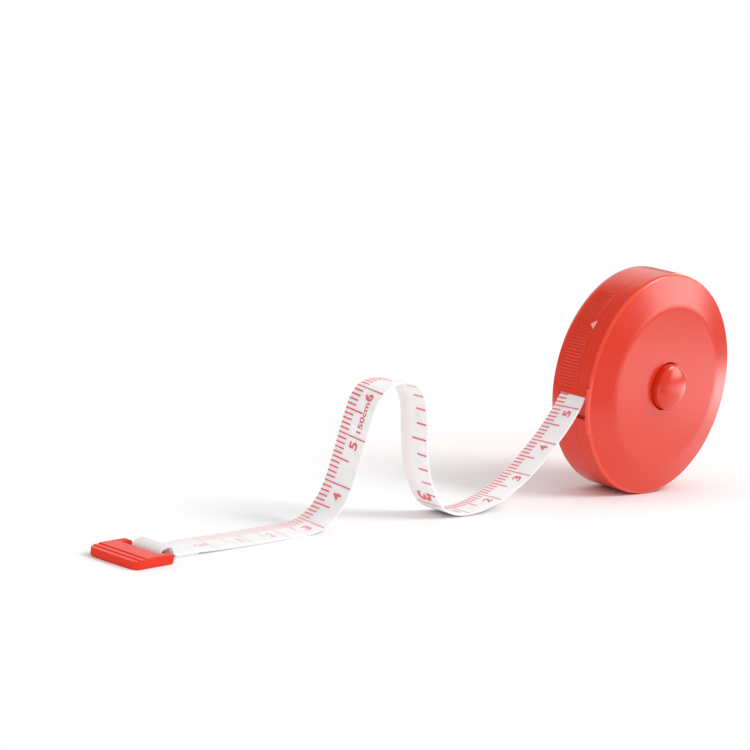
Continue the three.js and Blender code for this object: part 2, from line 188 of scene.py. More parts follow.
def makeSkinGroup():
    # A moulded skin over Object coordinates: fine grain and slow unevenness
    group = bpy.data.node_groups.new("mouldedSkin", "ShaderNodeTree")
    for label, value in (("Grain", 4000.0), ("Unevenness", 60.0), ("Depth", 0.5)):
        socket = group.interface.new_socket(name=label, in_out="INPUT", socket_type="NodeSocketFloat")
        socket.default_value = value
    for label in ("Height", "Cloud"):
        group.interface.new_socket(name=label, in_out="OUTPUT", socket_type="NodeSocketFloat")
    given = group.nodes.new("NodeGroupInput")
    out = group.nodes.new("NodeGroupOutput")
    link = group.links.new
    place = addNode(group, "ShaderNodeTexCoord")
    fine = addNode(group, "ShaderNodeTexNoise", {"Detail": 2.0, "Roughness": 0.6})
    slow = addNode(group, "ShaderNodeTexNoise", {"Detail": 3.0, "Roughness": 0.5})
    for noise, scale in ((fine, "Grain"), (slow, "Unevenness")):
        link(place.outputs["Object"], noise.inputs["Vector"])
        link(given.outputs[scale], noise.inputs["Scale"])
    deep = calculate(group, "MULTIPLY", fine.outputs["Fac"], given.outputs["Depth"])
    link(calculate(group, "ADD", deep, slow.outputs["Fac"]), out.inputs["Height"])
    link(slow.outputs["Fac"], out.inputs["Cloud"])
    return group


skinGroup = makeSkinGroup()
reliefDepth = 0.04  # of the bumps at full strength


def addRelief(tree, height, strength):
    bump = addNode(tree, "ShaderNodeBump", {"Strength": strength, "Distance": reliefDepth * mm})
    tree.links.new(height, bump.inputs["Height"])
    tree.links.new(bump.outputs["Normal"], tree.nodes["Principled BSDF"].inputs["Normal"])


paintedGlareOnPrint = {
    "between": (-96, -122),  # painted glare: the print is painted paler towards the tab, by X, where strong light from above washes it out
    "share": 0.8,
}
# Painted highlight: where a brighter red is painted along the cover's rounded front edge
paintedEdgeHighlight = {
    "radius": (24.55, 24.8),  # the cover's front edge starts here, outwards
    "depth": (-4.0, -4.2),  # and here, to the front of the case's middle plane
}
glossSpread = 0.03


def mouldedMaterial(name, finish):
    # One moulded or rolled surface: two close colours clouded into each other, varied gloss, fine relief,
    # and where given a painted glare or a painted edge highlight
    material, tree = newMaterial(name)
    shader = tree.nodes["Principled BSDF"]
    skin = addNode(tree, "ShaderNodeGroup", {
        "Grain": finish.get("grain", 4000), "Unevenness": finish.get("unevenness", 60),
    }, node_tree=skinGroup)
    cloud = skin.outputs["Cloud"]
    colour = mixColour(tree, cloud, finish["colour"], finish["deeper"])
    # painted glare: the print turns paler towards the tab
    if "paintedGlare" in finish:
        glareShare = ramp(tree, objectPlace(tree)[1]["X"], *(x * mm for x in paintedGlareOnPrint["between"]),
                    high=paintedGlareOnPrint["share"])
        colour = mixColour(tree, glareShare, colour, finish["paintedGlare"])
    if "edge" in finish:  # painted highlight: a brighter red painted along the cover's rounded front edge
        place, axes = objectPlace(tree)
        away = distanceFrom(tree, place, centre, (1, 0, 1))
        outer = ramp(tree, away, *(r * mm for r in paintedEdgeHighlight["radius"]))
        front = ramp(tree, axes["Y"], *((y + case["shift"]) * mm for y in paintedEdgeHighlight["depth"]))
        colour = mixColour(tree, calculate(tree, "MULTIPLY", outer, front), colour, finish["edge"])
    tree.links.new(colour, shader.inputs["Base Color"])
    gloss = ramp(tree, cloud, 0, 1, finish["rough"] - glossSpread, finish["rough"] + glossSpread)
    tree.links.new(gloss, shader.inputs["Roughness"])
    addRelief(tree, skin.outputs["Height"], finish.get("relief", 0.12))
    shader.inputs["Metallic"].default_value = finish.get("metal", 0)
    shader.inputs["IOR"].default_value = finish.get("ior", 1.5)
    return material


glossy = {"grain": 5200, "unevenness": 90, "relief": 0.05}
finishes = {
    "shellRed": {
        **glossy, "colour": (0.80, 0.039, 0.010), "deeper": (0.77, 0.033, 0.008),
        # edge: a painted highlight along the cover's front edge
        "edge": (0.96, 0.075, 0.032), "rough": 0.25, "ior": 1.6,
    },
    # painted highlight: the lip's red is a brighter copy of the shell's, standing in for the light along it
    "lipRed": {
        **glossy, "colour": (0.96, 0.070, 0.035), "deeper": (0.94, 0.060, 0.030),
        "rough": 0.25, "ior": 1.6,
    },
    "tabRed": {
        **glossy, "colour": (0.92, 0.050, 0.022), "deeper": (0.90, 0.042, 0.018),
        "rough": 0.28, "ior": 1.38,
    },
    "pointerPink": {"colour": (0.99, 0.42, 0.37), "deeper": (0.98, 0.37, 0.33), "rough": 0.5},
    "innerPlastic": {
        "colour": (0.70, 0.70, 0.68), "deeper": (0.66, 0.66, 0.63), "rough": 0.5, "grain": 3000,
    },
    "springSteel": {
        "colour": (0.42, 0.43, 0.45), "deeper": (0.34, 0.35, 0.38), "rough": 0.28, "metal": 1,
        "grain": 9000, "unevenness": 400,
    },
    "padRubber": {
        "colour": (0.027, 0.027, 0.029), "deeper": (0.02, 0.02, 0.021), "rough": 0.85, "grain": 2500,
    },
    # the last colour of both inks is painted glare, which the print turns to towards the tab
    "tickInk": {
        "colour": (0.92, 0.16, 0.21), "deeper": (0.89, 0.13, 0.18), "paintedGlare": (0.95, 0.78, 0.79),
        "rough": 0.5, "grain": 9000,
    },
    "digitInk": {
        "colour": (0.91, 0.16, 0.19), "deeper": (0.88, 0.13, 0.16), "paintedGlare": (0.93, 0.66, 0.68),
        "rough": 0.5, "grain": 9000,
    },
}
materials = {name: mouldedMaterial(name, finish) for name, finish in finishes.items()}

clothUnit = 100  # millimetres of tape to one unit of its UV map
coating = {
    "colour": (0.95, 0.92, 0.925),
    "deeper": (0.92, 0.885, 0.89),
    "blush": (0.96, 0.83, 0.84),  # a pink cast towards the printed edge
    "blushBand": (0.4, 1.6),
    "blushShare": 0.8,
    "paintedFoldShade": (0.81, 0.765, 0.76),  # painted shade: the fold, turned away from the key light, is painted grey
    "paintedFoldShadeBand": (-142.5, -145.5),  # by X
    "threads": (4.5, 4.0),  # along and across, in half waves per millimetre
    "threadRelief": 0.35,
    "rough": (0.4, 0.5),
}


def tapeMaterial():
    # White coating over a glass-fibre cloth, whose threads show as a faint weave in relief
    material, tree = newMaterial("coatedTape")
    link = tree.links.new
    shader = tree.nodes["Principled BSDF"]
    cloth = addNode(tree, "ShaderNodeUVMap", uv_map="cloth")
    split = addNode(tree, "ShaderNodeSeparateXYZ")
    link(cloth.outputs["UV"], split.inputs[0])
    skin = addNode(tree, "ShaderNodeGroup", {"Grain": 3500, "Unevenness": 120, "Depth": 0.4},
                   node_tree=skinGroup)
    waves = []
    for axis, threads in zip("XY", coating["threads"]):
        turn = calculate(tree, "MULTIPLY", split.outputs[axis], threads * clothUnit * math.pi)
        waves.append(calculate(tree, "SINE", turn))
    weave = calculate(tree, "MULTIPLY", *waves)
    relief = calculate(tree, "MULTIPLY_ADD", weave, coating["threadRelief"], skin.outputs["Height"])
    addRelief(tree, relief, 0.12)
    colour = mixColour(tree, skin.outputs["Cloud"], coating["colour"], coating["deeper"])
    band = ramp(tree, split.outputs["Y"], *(y / clothUnit for y in coating["blushBand"]),
                high=coating["blushShare"])
    colour = mixColour(tree, band, colour, coating["blush"])
    # painted shade: grey over the fold at the tab
    paintedFoldShade = ramp(tree, objectPlace(tree)[1]["X"], *(x * mm for x in coating["paintedFoldShadeBand"]))
    colour = mixColour(tree, paintedFoldShade, colour, coating["paintedFoldShade"])
    link(colour, shader.inputs["Base Color"])
    link(ramp(tree, skin.outputs["Cloud"], 0, 1, *coating["rough"]), shader.inputs["Roughness"])
    shader.inputs["IOR"].default_value = 1.4
    shader.inputs["Subsurface Weight"].default_value = 0.6
    shader.inputs["Subsurface Radius"].default_value = (1.0, 0.9, 0.9)
    shader.inputs["Subsurface Scale"].default_value = 0.0006
    return material


materials["coatedTape"] = tapeMaterial()
print("materials made")


# Making pieces

creaseAngle = 35
mergeDistance = 0.0005


def finishPiece(name, shape, finish, body, nodes=(), weighted=True):
    # A finished bmesh becomes a piece of the object, riding on a body and standing for its nodes
    mesh = bpy.data.meshes.new(name)
    shape.to_mesh(mesh)
    shape.free()
    mesh.shade_smooth()
    mesh.set_sharp_from_angle(angle=math.radians(creaseAngle))
    for label in [finish] if isinstance(finish, str) else finish:
        mesh.materials.append(materials[label])
    piece = addObject(name, mesh)
    if weighted:
        smooth = piece.modifiers.new("evenShading", "WEIGHTED_NORMAL")
        smooth.keep_sharp = True
    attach(piece, body)
    if nodes:
        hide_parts(*nodes)
    return piece


def thicken(piece, thickness):
    wall = piece.modifiers.new("thickness", "SOLIDIFY")
    wall.thickness = thickness * mm
    wall.offset = 0


def softenEdges(piece, width, segments, sharpest):
    edge = piece.modifiers.new("softEdges", "BEVEL")
    edge.width = width * mm
    edge.segments = segments
    edge.limit_method = "ANGLE"
    edge.angle_limit = math.radians(sharpest)


def roundOff(shape, geom, rounding, segments, affect="EDGES"):
    bmesh.ops.bevel(
        shape, geom=geom, offset=rounding, offset_type="OFFSET", segments=segments,
        profile=0.5, affect=affect, material=-1,
    )


def mergeDoubles(shape):
    bmesh.ops.remove_doubles(shape, verts=shape.verts, dist=mergeDistance * mm)


def drawOut(shape, face, way):
    # The face drawn along a way into a closed solid
    drawn = bmesh.ops.extrude_face_region(shape, geom=[face])
    moved = [v for v in drawn["geom"] if isinstance(v, bmesh.types.BMVert)]
    bmesh.ops.translate(shape, verts=moved, vec=way)
    bmesh.ops.recalc_face_normals(shape, faces=shape.faces)


def rimDirection(angle):
    # Outwards at an angle measured up from the tape's side of the case
    return Vector((-math.cos(math.radians(angle)), 0, math.sin(math.radians(angle))))


def profileWire(shape, corners, angle):
    # A closed outline of (radius, y, rounding) in the half plane at an angle, its corners rounded
    outwards = rimDirection(angle)
    verts = []
    for radius, y, _ in corners:
        verts.append(shape.verts.new(centre + outwards * radius * mm + Vector((0, y * mm, 0))))
    for a, b in zip(verts, verts[1:] + verts[:1]):
        shape.edges.new((a, b))
    for vert, (_, _, rounding) in zip(verts, corners):
        if rounding:
            roundOff(shape, [vert], rounding * mm, 5, "VERTICES")
    return shape


def turnedShape(corners, sectors):
    # The outline turned about the case's axis, in one or more sectors of their own fineness
    shape = bmesh.new()
    for start, sweep, steps in sectors:
        part = profileWire(bmesh.new(), corners, start)
        whole = abs(sweep) >= 360
        bmesh.ops.spin(
            part, geom=part.verts[:] + part.edges[:], cent=centre, axis=(0, 1, 0),
            angle=math.radians(sweep), steps=steps, use_merge=whole, use_duplicate=False,
        )
        passed = bpy.data.meshes.new("sector")
        part.to_mesh(passed)
        part.free()
        shape.from_mesh(passed)
        bpy.data.meshes.remove(passed)
    mergeDoubles(shape)
    bmesh.ops.dissolve_degenerate(shape, edges=shape.edges, dist=mergeDistance * mm)
    bmesh.ops.recalc_face_normals(shape, faces=shape.faces)
    return shape


def prism(outline, fromY, toY):
    # A flat outline of (x, z) about the case's middle, drawn along the axis
    shape = bmesh.new()
    verts = [shape.verts.new(centre + Vector((x, fromY, z)) * mm) for x, z in outline]
    drawOut(shape, shape.faces.new(verts), (0, (toY - fromY) * mm, 0))
    return shape


def sectorPrism(inner, outer, fromAngle, toAngle, fromY, toY, rounding=0.0):
    # Part of a ring of rectangular section, closed at its two ends
    corners = [
        (inner, fromY, rounding), (outer, fromY, rounding), (outer, toY, rounding), (inner, toY, rounding),
    ]
    shape = profileWire(bmesh.new(), corners, fromAngle)
    shape.edges.ensure_lookup_table()
    face = bmesh.ops.contextual_create(shape, geom=shape.edges[:])["faces"]
    bmesh.ops.spin(
        shape, geom=face + shape.verts[:] + shape.edges[:], cent=centre, axis=(0, 1, 0),
        angle=math.radians(toAngle - fromAngle), steps=24, use_merge=False, use_duplicate=False,
    )
    mergeDoubles(shape)
    loose = [e for e in shape.edges if e.is_boundary]
    if loose:
        bmesh.ops.contextual_create(shape, geom=loose)
    bmesh.ops.recalc_face_normals(shape, faces=shape.faces)
    return shape


def cutAway(shape, cutters):
    # The shape less its cutters
    objects = []
    for source in [shape] + cutters:
        mesh = bpy.data.meshes.new("cut")
        source.to_mesh(mesh)
        source.free()
        objects.append(addObject("cut", mesh))
    for cutter in objects[1:]:
        cut = objects[0].modifiers.new("cut", "BOOLEAN")
        cut.operation = "DIFFERENCE"
        cut.solver = "EXACT"
        cut.object = cutter
    done = objects[0].evaluated_get(bpy.context.evaluated_depsgraph_get())
    result = bmesh.new()
    result.from_mesh(done.to_mesh())
    done.to_mesh_clear()
    for item in objects:
        bpy.data.meshes.remove(item.data)
    mergeDoubles(result)
    return result


# The tape: its line, from the reel out through the mouth to the fold around the tab's bar

tape = {
    "width": 7.0,
    "thickness": 0.35,
    "edge": 0.06,
    "zeroMark": 4.42,  # from the end of the free run to the zero line
    "step": 0.2,
    "fineStep": 0.05,
    "heading": 6.0,
    "foldLength": 10.6,
    "curvePoints": 25,
    "low": 0.175,
    "crest": (1.6, 2.5),
    "pinch": (4.0, 0.58),  # where the upper strip meets the lower
    "bend": 1.1,
    "swell": 2.6,
    "lowStart": 0.65,
    "tailLength": 9.6,
    "length": 190,
    "exit": (-25.05, 0.0, 22.9),
}
route = [
    (-17.75, 0, 35.55), (-21.5, 0, 29.05), (-25.05, 0, 22.9), (-28.06, -0.28, 18.83),
    (-31.82, -0.54, 14.83), (-36.23, -0.72, 10.87), (-40.94, -0.92, 7.11), (-46.02, -1.14, 4.16),
    (-51.62, -1.27, 1.95), (-57.36, -1.32, 0.55), (-63.18, -1.49, 0.48), (-68.65, -1.65, 2.23),
    (-72.66, -1.8, 6.44), (-75.58, -2.01, 11.64), (-77.14, -2.14, 17.04), (-78.44, -2.28, 22.73),
    (-81.34, -2.64, 27.53), (-87.69, -2.95, 29.47), (-92.86, -2.91, 27.55), (-94.68, -2.45, 22.41),
    (-95.35, -1.81, 16.31), (-96.18, -1.19, 10.04), (-98.74, -0.94, 4.26), (-103.74, -1.11, 0.97),
    (-110.23, -1.54, 0.44), (-117.8, -2.4, 0.5), (-125.9, -3.05, 0.5), (-131.5, -3.5, 0.55),
    (-137, -3.88, 0.65),
]
lean = {  # how the tape's far edge points, by the distance from the zero line
    "at": (-12, 0, 20, 30, 40, 50, 60, 63, 66, 72, 78, 86, 100, 120, 155),
    "yaw": (6, 6, 5.1, 4.7, 4.5, 4, 3.5, 3.5, 3.5, 3.5, 3.6, 3.5, 2.8, 2, 1.2),
    "rise": (
        0, 0.06, 0.09, 0.063, 0.004, 0.017, 0.05, -0.03, -0.08, -0.077, 0.033, 0.049, 0.01, -0.062, -0.062,
    ),
}
heading = math.radians(tape["heading"])
barFoot = np.array((
    route[-1][0] - tape["foldLength"] * math.cos(heading),
    route[-1][1] + case["shift"] - tape["foldLength"] * math.sin(heading),
    0,
))


def lengthsAlong(line):
    return np.append(0, np.cumsum(np.linalg.norm(np.diff(line, axis=0), axis=1)))


def evenly(line, step):
    reach = lengthsAlong(line)
    at = np.linspace(0, reach[-1], int(round(reach[-1] / step)) + 1)
    return np.stack([np.interp(at, reach, line[:, k]) for k in range(3)], axis=1)


def splineThrough(points, step):
    # A natural cubic spline through the points, cut into even steps
    knots = np.array(points, float)
    chord = lengthsAlong(knots)
    gap = np.diff(chord)[:, None]
    count = len(knots)
    system = np.eye(count)
    bends = np.zeros((count, 3))
    for i in range(1, count - 1):
        system[i, i - 1:i + 2] = gap[i - 1, 0], 2 * (gap[i - 1, 0] + gap[i, 0]), gap[i, 0]
        bends[i] = 6 * ((knots[i + 1] - knots[i]) / gap[i] - (knots[i] - knots[i - 1]) / gap[i - 1])
    bends = np.linalg.solve(system, bends)
    at = np.linspace(0, chord[-1], int(chord[-1] / step))
    span = np.clip(np.searchsorted(chord, at, side="right") - 1, 0, count - 2)
    h = gap[span]
    before = (at - chord[span])[:, None]
    after = h - before
    line = (
        bends[span] * after ** 3 / (6 * h) + bends[span + 1] * before ** 3 / (6 * h)
        + (knots[span] / h - bends[span] * h / 6) * after
        + (knots[span + 1] / h - bends[span + 1] * h / 6) * before
    )
    return evenly(line, step)


def tapeLine():
    # The whole centreline in millimetres, and the length of its free run
    shifted = [(x, y + case["shift"], z) for x, y, z in route]
    free = splineThrough(shifted, tape["fineStep"])
    along = np.array((math.cos(heading), math.sin(heading), 0))

    def fromBar(x, z):
        return barFoot + along * x + np.array((0, 0, z))

    points = tape["curvePoints"]
    crest = Vector((*tape["crest"], 0))
    start = Vector((tape["foldLength"], shifted[-1][2], 0))
    under = Vector((tape["lowStart"], tape["low"], 0))
    pinch = Vector((*tape["pinch"], 0))
    bend = Vector((tape["bend"], 0, 0))
    upper = [start] + list(interpolate_bezier(pinch, pinch - bend, crest + bend, crest, points))
    swell = Vector((tape["swell"], 0, 0))
    loop = interpolate_bezier(crest, crest - swell, under - swell, under, points)
    line = list(free) + [fromBar(p.x, p.y) for p in upper[1:] + loop[1:]]
    line.append(fromBar(tape["tailLength"], tape["low"]))
    return evenly(np.array(line), tape["step"]), lengthsAlong(free)[-1]


tapePoints, freeLength = tapeLine()
tapeReach = lengthsAlong(tapePoints)


def tapeFrames():
    # At each point: towards the far edge, and out of the printed side
    ahead = np.gradient(tapePoints, axis=0)
    ahead /= np.linalg.norm(ahead, axis=1)[:, None]
    scale = freeLength - tape["zeroMark"] - tapeReach
    yaw = np.radians(np.interp(scale, lean["at"], lean["yaw"]))
    across = np.stack([-np.sin(yaw), np.cos(yaw), np.interp(scale, lean["at"], lean["rise"])], axis=1)
    across -= (across * ahead).sum(axis=1)[:, None] * ahead
    across /= np.linalg.norm(across, axis=1)[:, None]
    return across, np.cross(across, ahead)


tapeAcross, tapeOut = tapeFrames()


def onTape(reach, across, out):
    # The place, in metres, at a length along the tape, a distance across it and a height off its middle
    spot, side, off = (
        Vector([np.interp(reach, tapeReach, track[:, k]) for k in range(3)])
        for track in (tapePoints, tapeAcross, tapeOut)
    )
    return (spot + side * across + off * out) * mm


def makeTape():
    shape = bmesh.new()
    cloth = shape.loops.layers.uv.new("cloth")
    segments = len(tapePoints) - 1
    bmesh.ops.create_grid(shape, x_segments=segments, y_segments=4, size=1)
    half = tape["width"] / 2
    for face in shape.faces:
        for loop in face.loops:
            x, y = loop.vert.co.x, loop.vert.co.y
            loop[cloth].uv = ((x + 1) / 2 * tapeReach[-1] / clothUnit, y * half / clothUnit)
    for vert in shape.verts:
        vert.co = onTape((vert.co.x + 1) / 2 * tapeReach[-1], vert.co.y * half, 0)
    bmesh.ops.reverse_faces(shape, faces=shape.faces)
    strip = finishPiece("tapeStrip", shape, "coatedTape", "case",
                        ("free_tape", "tape_end_fold"), weighted=False)
    thicken(strip, tape["thickness"])
    softenEdges(strip, tape["edge"], 2, 60)
    return strip


tapeStrip = makeTape()
print("tape laid:", round(tapeReach[-1], 1), "mm")


# The print: lines and figures as a film of ink wrapped on the tape

ink = {
    "sunk": 0.01,
    "film": 0.012,
    "slice": 0.35,
    "edgeGap": 0.02,
    "millimetreLine": (0.33, 2.3),  # thickness and length
    "halfLine": (0.33, 4.4),
    "centimetreLine": (0.28, 6.9),
    "underLine": (0.38, 2.4),
    "underHalfLine": (0.38, 3.7),
    "underFullLine": (0.28, 6.6),
    "underUnit": 33.333,
    "underMargin": 0.3,
    "lastLine": 158,
    "figureHeight": 2.0,
    "figureWidth": 1.55,
    "figureShare": {"1": 0.4, "10": 2.2},  # of the width
    "figureBold": 0.03,
    "figureAcross": -0.95,
    "figureBefore": 1.65,  # from a figure's middle to its line
    "figureShift": {2: 1.3, 3: 0.6, 4: 0.7, 10: 0.5},
    "underFigure": (2.5, 3.5),  # width and height
    "underBefore": 2.4,
    "words": (("150cm", 6.3, (54.2, -1.3)), ("CM", 3.2, (-1.95, -0.56))),  # text, width and place
    "wordHeight": 1.2,
    "wordBold": 0.02,
}


def inkLine(shape, scale, start, end, thickness):
    # A line across the tape at a distance from the zero line, in flat tape space
    middle = Matrix.Translation((scale, (start + end) / 2, 0))
    bmesh.ops.create_cube(shape, size=1, matrix=middle @ Matrix.Diagonal((thickness, end - start, 1, 1)))


def inkText(shape, words, width, height, place, bold, turned=False):
    # Generic figures and letters, made a mesh, sized, sliced across the tape and laid in flat tape space
    curve = bpy.data.curves.new("words", "FONT")
    curve.body = words
    curve.size = 1
    curve.offset = bold
    curve.extrude = 0.5
    curve.resolution_u = 6
    source = addObject("words", curve)
    mesh = bpy.data.meshes.new_from_object(source.evaluated_get(bpy.context.evaluated_depsgraph_get()))
    part = bmesh.new()
    part.from_mesh(mesh)
    bpy.data.objects.remove(source)
    bpy.data.curves.remove(curve)
    bpy.data.meshes.remove(mesh)
    bmesh.ops.remove_doubles(part, verts=part.verts, dist=1e-5)
    low = [min(v.co[k] for v in part.verts) for k in range(2)]
    high = [max(v.co[k] for v in part.verts) for k in range(2)]
    middle = [(a + b) / 2 for a, b in zip(low, high)]
    bmesh.ops.translate(part, verts=part.verts, vec=(-middle[0], -middle[1], 0))
    found = [b - a for a, b in zip(low, high)]
    bmesh.ops.scale(part, verts=part.verts, vec=(width / found[0], height / found[1], 1))
    if turned:
        bmesh.ops.scale(part, verts=part.verts, vec=(1, -1, 1))
        bmesh.ops.reverse_faces(part, faces=part.faces)
    bmesh.ops.translate(part, verts=part.verts, vec=(*place, 0))
    cut = place[0] - width / 2 + ink["slice"]
    while cut < place[0] + width / 2:
        everything = part.verts[:] + part.edges[:] + part.faces[:]
        bmesh.ops.bisect_plane(part, geom=everything, plane_co=(cut, 0, 0), plane_no=(1, 0, 0))
        cut += ink["slice"]
    for face in part.faces:
        face.material_index = 1
    flat = bpy.data.meshes.new("words")
    part.to_mesh(flat)
    part.free()
    shape.from_mesh(flat)
    bpy.data.meshes.remove(flat)


def wrapInk(name, shape, side):
    # Flat tape space onto the tape: side 1 is the centimetre side, -1 the underside
    skin = tape["thickness"] / 2
    for vert in shape.verts:
        height = skin + ink["film"] if vert.co.z > 0 else skin - ink["sunk"]
        reach = freeLength - tape["zeroMark"] - vert.co.x
        vert.co = onTape(reach, vert.co.y, side * height)
    bmesh.ops.recalc_face_normals(shape, faces=shape.faces)
    return finishPiece(name, shape, ("tickInk", "digitInk"), "case", weighted=False)


def makeCentimetrePrint():
    shape = bmesh.new()
    edge = tape["width"] / 2 - ink["edgeGap"]
    for count in range(ink["lastLine"] + 1):
        name = "centimetreLine" if count % 10 == 0 else "halfLine" if count % 5 == 0 else "millimetreLine"
        thickness, length = ink[name]
        inkLine(shape, count, edge - length, edge, thickness)
    for number in range(1, 16):
        figure = str(number) if number <= 10 else str(number % 10)
        width = ink["figureWidth"] * ink["figureShare"].get(figure, 1)
        place = (number * 10 - ink["figureBefore"] - ink["figureShift"].get(number, 0), ink["figureAcross"])
        inkText(shape, figure, width, ink["figureHeight"], place, ink["figureBold"])
    for words, width, place in ink["words"]:
        inkText(shape, words, width, ink["wordHeight"], place, ink["wordBold"])
    return wrapInk("tapePrintFront", shape, 1)


def makeUndersidePrint():
    shape = bmesh.new()
    tenth = ink["underUnit"] / 10
    start = ink["underMargin"] - tape["width"] / 2
    for count in range(int(ink["lastLine"] / tenth) + 1):
        name = "underFullLine" if count % 10 == 0 else "underHalfLine" if count % 5 == 0 else "underLine"
        thickness, length = ink[name]
        inkLine(shape, count * tenth, start, start + length, thickness)
    for number in range(1, 5):
        width, height = ink["underFigure"]
        width *= ink["figureShare"].get(str(number), 1)
        place = (number * ink["underUnit"] - ink["underBefore"], 0)
        inkText(shape, str(number), width, height, place, ink["figureBold"], turned=True)
    return wrapInk("tapePrintBack", shape, -1)


frontPrint = makeCentimetrePrint()
backPrint = makeUndersidePrint()
print("tape printed")


# Tab on the tape's end

tab = {
    "width": 12.0,
    "length": 10.1,
    "thickness": 2.0,
    "stepHeight": 0.17,
    "stepLength": 1.4,
    "corner": 1.5,
    "innerCorner": 0.6,
    "nose": 0.7,  # the slope at the arms' ends
    "noseShare": 0.3,
    "under": 0.4,
    "edge": 0.2,
    "arm": 1.4,
    "window": 2.6,
    "margin": 0.5,
    "barRadius": 0.35,
    "barHeight": 1.0,
}


def makeTabBlock(inner):
    # A block with two shallow steps and rounded corners
    outer = inner - tab["length"]
    side = tab["width"] / 2
    top, step, run = tab["thickness"], tab["stepHeight"], tab["stepLength"]
    nose, share = tab["nose"], tab["noseShare"]
    profile = [
        (inner, 0), (outer, 0), (outer, top - 2 * step), (outer + run, top - 2 * step),
        (outer + run, top - step), (outer + 2 * run, top - step), (outer + 2 * run, top),
        (inner - nose, top), (inner - nose * share, top - nose * share), (inner, top - nose),
    ]
    shape = bmesh.new()
    face = shape.faces.new([shape.verts.new((x, -side, z)) for x, z in profile])
    drawOut(shape, face, (0, side * 2, 0))
    for end, rounding in ((outer, tab["corner"]), (inner, tab["innerCorner"])):
        corners = [
            e for e in shape.edges
            if all(abs(v.co.x - end) < 0.01 for v in e.verts)
            and abs(e.verts[0].co.z - e.verts[1].co.z) > 0.5
        ]
        roundOff(shape, corners, rounding, 8)
    below = [e for e in shape.edges if all(v.co.z < 0.001 for v in e.verts)]
    roundOff(shape, below, tab["under"], 4)
    return shape


def finishTabPiece(name, shape, nodes=()):
    # From the bar's own millimetres to its place on the floor
    bmesh.ops.scale(shape, verts=shape.verts, vec=(mm, mm, mm))
    place = Matrix.Translation(Vector(barFoot) * mm) @ Matrix.Rotation(heading, 4, "Z")
    bmesh.ops.transform(shape, matrix=place, verts=shape.verts)
    return finishPiece(name, shape, "tabRed", "tab", nodes)


def makeTab():
    # The block with its window open towards the tape, and the bar across it
    inner = tab["margin"]
    opening = tab["width"] / 2 - tab["arm"]
    over = 2
    reach = inner + tab["window"] + over
    window = bmesh.new()
    middle = Matrix.Translation((reach / 2 - tab["window"], 0, tab["thickness"] / 2))
    size = Matrix.Diagonal((reach, opening * 2, tab["thickness"] + over, 1))
    bmesh.ops.create_cube(window, size=1, matrix=middle @ size)
    shape = cutAway(makeTabBlock(inner), [window])
    bmesh.ops.dissolve_limit(shape, angle_limit=math.radians(1), verts=shape.verts, edges=shape.edges)
    block = finishTabPiece("tabBlock", shape, ("end_tab",))
    softenEdges(block, tab["edge"], 3, 40)
    bar = bmesh.new()
    across = Matrix.Translation((0, 0, tab["barHeight"])) @ Matrix.Rotation(math.pi / 2, 4, "X")
    bmesh.ops.create_cone(
        bar, cap_ends=True, segments=32, radius1=tab["barRadius"], radius2=tab["barRadius"],
        depth=opening * 2 + 1, matrix=across,
    )
    return block, finishTabPiece("tabBar", bar)


tabBlock, tabBar = makeTab()
print("tab on its bar")


# The case

cover = {
    "hole": 5.38,
    "face": 18.34,
    "slope": 0.25,
    "seam": -0.82,
    "inner": 23.79,
    "innerFace": 17.99,
    "holeEdge": 0.25,
    "faceEdge": 0.9,
    "rimEdge": 0.8,
    "seamEdge": 0.06,
    "backEdge": 0.2,
}
shell = {
    "seam": -0.78,
    "lip": -2.4,
    "lipRadius": 23.49,
    "inner": 22.84,
    "rearEdge": 1.3,
    "seamEdge": 0.06,
    "lipEdge": 0.1,
    "innerEdge": 0.3,
    "plainSteps": 168,
}
ribs = {
    "pitch": 0.73,
    "count": 33,
    "depth": 0.2,
    "start": -1.5,
    "from": -0.1,
    "to": 4.35,
    "flank": 0.3,
    "fineness": 10,
}
mouth = {
    "half": 3.85,
    "exitAngle": 60,
    "reach": 20.5,
    "over": 0.28,
    "under": 0.5,
    "drop": 7.1,
    "depth": 1.0,
    "recessTop": -5.5,
}
pointer = {
    "angle": 32,
    "width": 2.9,
    "height": 1.75,
    "thickness": 0.4,
    "clearance": 0.06,
    "proud": 0.06,
    "shrink": 0.15,
    "inset": 0.28,
    "sink": 0.1,
}
guide = {
    "proud": 0.6,
    "height": 1.6,
    "depth": 0.85,
    "gap": 0.04,
    "from": -23.5,
    "to": 0.3,
    "rounding": 0.38,
    "notchReach": 2,
}
beyond = 3  # how far the other cutters reach past the rim


def mouthCutters():
    # The way of the tape through the rim: a slot, and the recess in the rim below it
    angle = math.radians(mouth["exitAngle"])
    over = mouth["reach"] + mouth["over"]
    under = mouth["reach"] - mouth["under"]
    length = (math.cos(angle) * over + mouth["drop"]) / math.sin(angle)

    def pointAt(reach, along):
        return (-math.sin(angle) * reach - math.cos(angle) * along,
                math.cos(angle) * reach - math.sin(angle) * along)

    slot = [pointAt(over, 0), pointAt(over, length), pointAt(under, length), pointAt(under, 0)]
    inner = case["radius"] - mouth["depth"]
    fall = math.degrees(math.asin(mouth["drop"] / case["radius"]))
    half = mouth["half"]
    recess = sectorPrism(inner, case["radius"] + beyond, -fall, mouth["recessTop"], -half, half)
    return [prism(slot, -half, half), recess]


